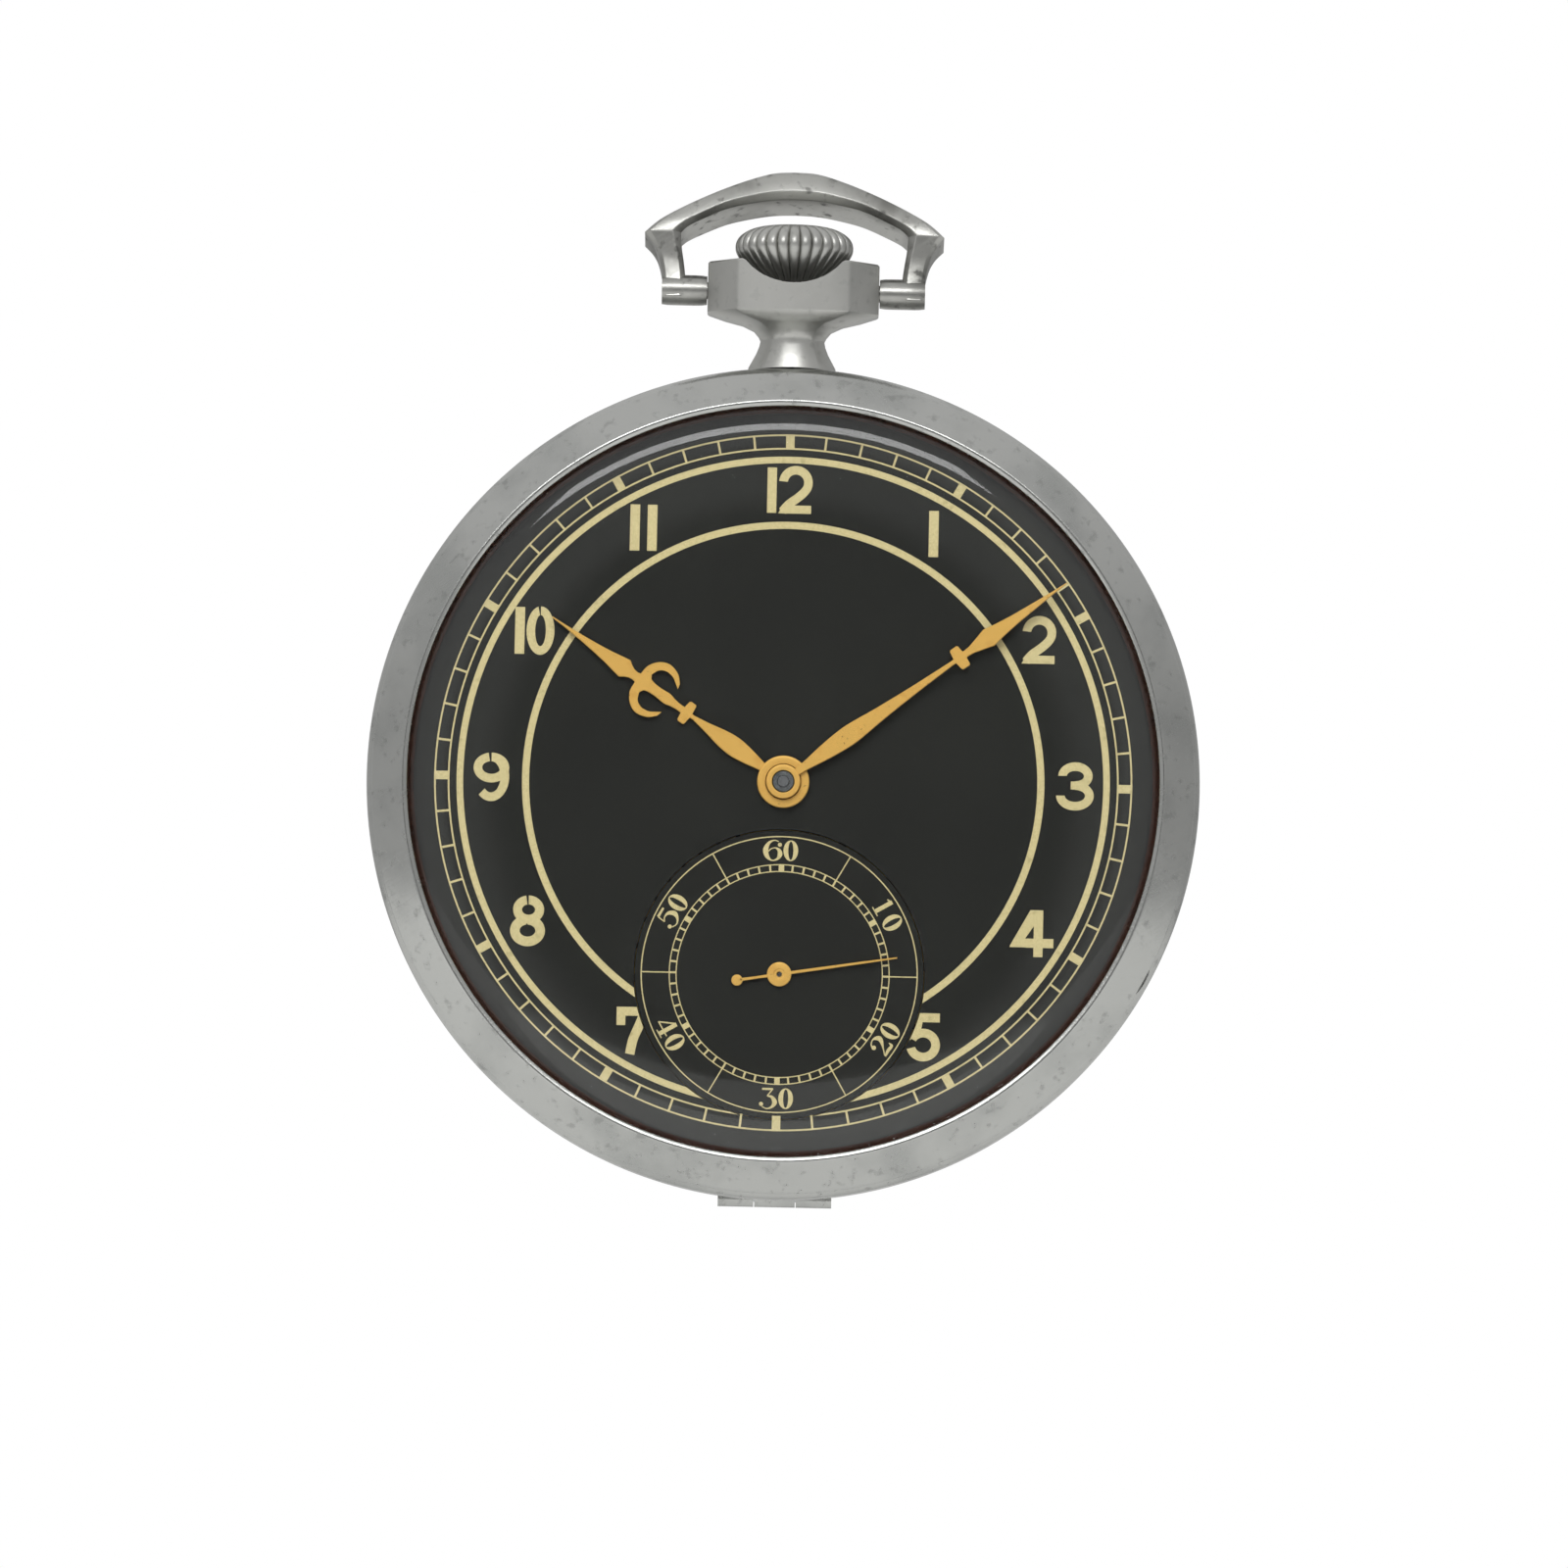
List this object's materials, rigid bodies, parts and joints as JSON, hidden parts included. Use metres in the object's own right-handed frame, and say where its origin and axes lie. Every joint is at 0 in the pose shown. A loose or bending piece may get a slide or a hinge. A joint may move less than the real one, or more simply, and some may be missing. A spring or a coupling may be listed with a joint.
{
  "type": "open face pocket watch",
  "caption": "Open face pocket watch with a snap bezel, hinged back, swinging bow, fluted winding crown, sunk seconds dial and a keyless lever movement.",
  "frame": {"origin": "middle of the flat back face, on the axis of the hands", "axes": "+Z towards twelve o'clock and the crown, +X towards three o'clock, the dial faces -Y and the back faces +Y"},
  "size_m": [0.049, 0.0094, 0.0613],
  "materials": {
    "case_nickel": "polished",
    "movement_steel": "brushed",
    "blued_steel": "polished and heat-blued",
    "wheel_brass": "satin",
    "hand_gold": "satin gilt",
    "plate_gilt": "frosted gilt",
    "dial_black": "satin lacquer",
    "crystal_clear": "polished"
  },
  "bodies": {
    "case": {"case_middle": "case_nickel", "pendant": "case_nickel", "back_hinge_pin": "movement_steel", "dial": "dial_black", "seconds_subdial": "dial_black", "main_plate": "plate_gilt", "barrel_bridge": "plate_gilt", "train_bridge": "plate_gilt", "pallet_bridge": "plate_gilt", "balance_cock": "plate_gilt", "barrel_bridge_screw_left": "blued_steel", "barrel_bridge_screw_right": "blued_steel", "train_bridge_screw_left": "blued_steel", "train_bridge_screw_right": "blued_steel", "case_screw_upper": "blued_steel", "case_screw_lower": "blued_steel", "balance_cock_screw": "blued_steel", "pallet_bridge_screw": "blued_steel", "crown_wheel_screw": "blued_steel", "click_spring": "blued_steel", "mainspring": "blued_steel", "hairspring": "blued_steel"},
    "front": {"bezel": "case_nickel", "crystal": "crystal_clear"},
    "back": {"back_cover": "case_nickel"},
    "bow": {"bow": "case_nickel"},
    "minute_group": {"minute_hand": "hand_gold", "cannon_pinion": "movement_steel"},
    "hour_group": {"hour_hand": "hand_gold", "hour_wheel": "wheel_brass"},
    "minute_wheel": {"minute_wheel": "wheel_brass"},
    "setting_wheel": {"setting_wheel": "movement_steel"},
    "centre_group": {"centre_wheel": "wheel_brass", "centre_pinion": "movement_steel"},
    "third_group": {"third_wheel": "wheel_brass", "third_pinion": "movement_steel"},
    "fourth_group": {"fourth_wheel": "wheel_brass", "fourth_pinion": "movement_steel", "second_hand": "hand_gold"},
    "escape_group": {"escape_wheel": "movement_steel", "escape_pinion": "movement_steel"},
    "pallet": {"pallet_fork": "movement_steel"},
    "balance": {"balance_wheel": "hand_gold", "balance_staff": "movement_steel"},
    "regulator": {"regulator": "movement_steel"},
    "barrel_group": {"barrel": "wheel_brass", "barrel_cover": "wheel_brass"},
    "ratchet_group": {"ratchet_wheel": "movement_steel", "barrel_arbor": "movement_steel"},
    "crown_wheel": {"crown_wheel": "movement_steel"},
    "click": {"click": "movement_steel"},
    "winding": {"winding_pinion": "movement_steel"},
    "crown_group": {"crown": "case_nickel", "winding_stem": "movement_steel"},
    "clutch": {"sliding_clutch": "movement_steel"},
    "setting_lever": {"setting_lever": "movement_steel"},
    "yoke": {"yoke": "movement_steel"}
  },
  "joints": [
    {"name": "bezel_lift", "type": "slide", "parent": "case", "child": "front", "axis": [0, -1, 0], "range_m": [0, 0.003]},
    {"name": "back_open", "type": "hinge", "parent": "case", "child": "back", "pos_m": [0, -0.0023, -0.02437], "axis": [-1, 0, 0], "range_deg": [0, 95]},
    {"name": "bow_swing", "type": "hinge", "parent": "case", "child": "bow", "pos_m": [0, -0.0042, 0.0292], "axis": [1, 0, 0], "range_deg": [-100, 135]},
    {"name": "minute_turn", "type": "hinge", "parent": "case", "child": "minute_group", "pos_m": [0, -0.00597, 0], "axis": [0, 1, 0], "continuous": true},
    {"name": "hour_turn", "type": "hinge", "parent": "case", "child": "hour_group", "pos_m": [0, -0.00597, 0], "axis": [0, 1, 0], "continuous": true},
    {"name": "minute_wheel_turn", "type": "hinge", "parent": "case", "child": "minute_wheel", "pos_m": [0.00109, -0.00597, 0.00406], "axis": [0, 1, 0], "continuous": true},
    {"name": "setting_wheel_turn", "type": "hinge", "parent": "case", "child": "setting_wheel", "pos_m": [0.00036, -0.00597, 0.00926], "axis": [0, 1, 0], "continuous": true},
    {"name": "centre_turn", "type": "hinge", "parent": "case", "child": "centre_group", "pos_m": [0, -0.0024, 0], "axis": [0, 1, 0], "continuous": true},
    {"name": "third_turn", "type": "hinge", "parent": "case", "child": "third_group", "pos_m": [-0.00238, -0.0031, -0.00641], "axis": [0, 1, 0], "continuous": true},
    {"name": "fourth_turn", "type": "hinge", "parent": "case", "child": "fourth_group", "pos_m": [0, -0.0038, -0.0113], "axis": [0, 1, 0], "continuous": true},
    {"name": "escape_turn", "type": "hinge", "parent": "case", "child": "escape_group", "pos_m": [0.00489, -0.0034, -0.00952], "axis": [0, 1, 0], "continuous": true},
    {"name": "barrel_turn", "type": "hinge", "parent": "case", "child": "barrel_group", "pos_m": [-0.00743, -0.0027, 0.00581], "axis": [0, 1, 0], "continuous": true},
    {"name": "pallet_swing", "type": "hinge", "parent": "case", "child": "pallet", "pos_m": [0.00771, -0.0034, -0.00714], "axis": [0, 1, 0], "range_deg": [-4, 4]},
    {"name": "balance_swing", "type": "hinge", "parent": "case", "child": "balance", "pos_m": [0.0126, -0.00215, -0.003], "axis": [0, 1, 0], "range_deg": [-270, 270], "stiffness_Nm_per_rad": 0.0000013},
    {"name": "regulator_turn", "type": "hinge", "parent": "case", "child": "regulator", "pos_m": [0.0126, -0.0012, -0.003], "axis": [0, 1, 0], "range_deg": [-15, 15]},
    {"name": "crown_turn", "type": "hinge", "parent": "case", "child": "winding", "pos_m": [0, -0.0042, 0.0159], "axis": [0, 0, 1], "continuous": true},
    {"name": "crown_wheel_turn", "type": "hinge", "parent": "case", "child": "crown_wheel", "pos_m": [0, -0.00195, 0.014], "axis": [0, 1, 0], "continuous": true},
    {"name": "ratchet_turn", "type": "hinge", "parent": "case", "child": "ratchet_group", "pos_m": [-0.00743, -0.00195, 0.00581], "axis": [0, 1, 0], "continuous": true},
    {"name": "click_swing", "type": "hinge", "parent": "case", "child": "click", "pos_m": [-0.0158, -0.00195, 0.00191], "axis": [0, 1, 0], "range_deg": [-6, 0], "stiffness_Nm_per_rad": 0.00002},
    {"name": "crown_pull", "type": "slide", "parent": "winding", "child": "crown_group", "axis": [0, 0, 1], "range_m": [0, 0.001]},
    {"name": "clutch_slide", "type": "slide", "parent": "winding", "child": "clutch", "axis": [0, 0, 1], "range_m": [-0.0006, 0]},
    {"name": "setting_lever_turn", "type": "hinge", "parent": "case", "child": "setting_lever", "pos_m": [0.003, -0.00597, 0.0189], "axis": [0, 1, 0], "range_deg": [0, 19.2]},
    {"name": "yoke_turn", "type": "hinge", "parent": "case", "child": "yoke", "pos_m": [0.0044, -0.00597, 0.0126], "axis": [0, 1, 0], "range_deg": [-8, 0]}
  ],
  "couplings": [
    {"joint": "centre_turn", "follows": "minute_turn", "ratio": 1},
    {"joint": "hour_turn", "follows": "minute_turn", "ratio": 0.083333},
    {"joint": "minute_wheel_turn", "follows": "minute_turn", "ratio": -0.33333},
    {"joint": "setting_wheel_turn", "follows": "minute_turn", "ratio": 0.5},
    {"joint": "third_turn", "follows": "minute_turn", "ratio": -8},
    {"joint": "fourth_turn", "follows": "minute_turn", "ratio": 60},
    {"joint": "escape_turn", "follows": "minute_turn", "ratio": -600},
    {"joint": "barrel_turn", "follows": "minute_turn", "ratio": -0.14815},
    {"joint": "crown_wheel_turn", "follows": "crown_turn", "ratio": -0.61111},
    {"joint": "ratchet_turn", "follows": "crown_turn", "ratio": 0.275},
    {"joint": "clutch_slide", "follows": "crown_pull", "ratio": -0.6},
    {"joint": "setting_lever_turn", "follows": "crown_pull", "rad_per_m": 333.33},
    {"joint": "yoke_turn", "follows": "crown_pull", "rad_per_m": -136.36}
  ]
}
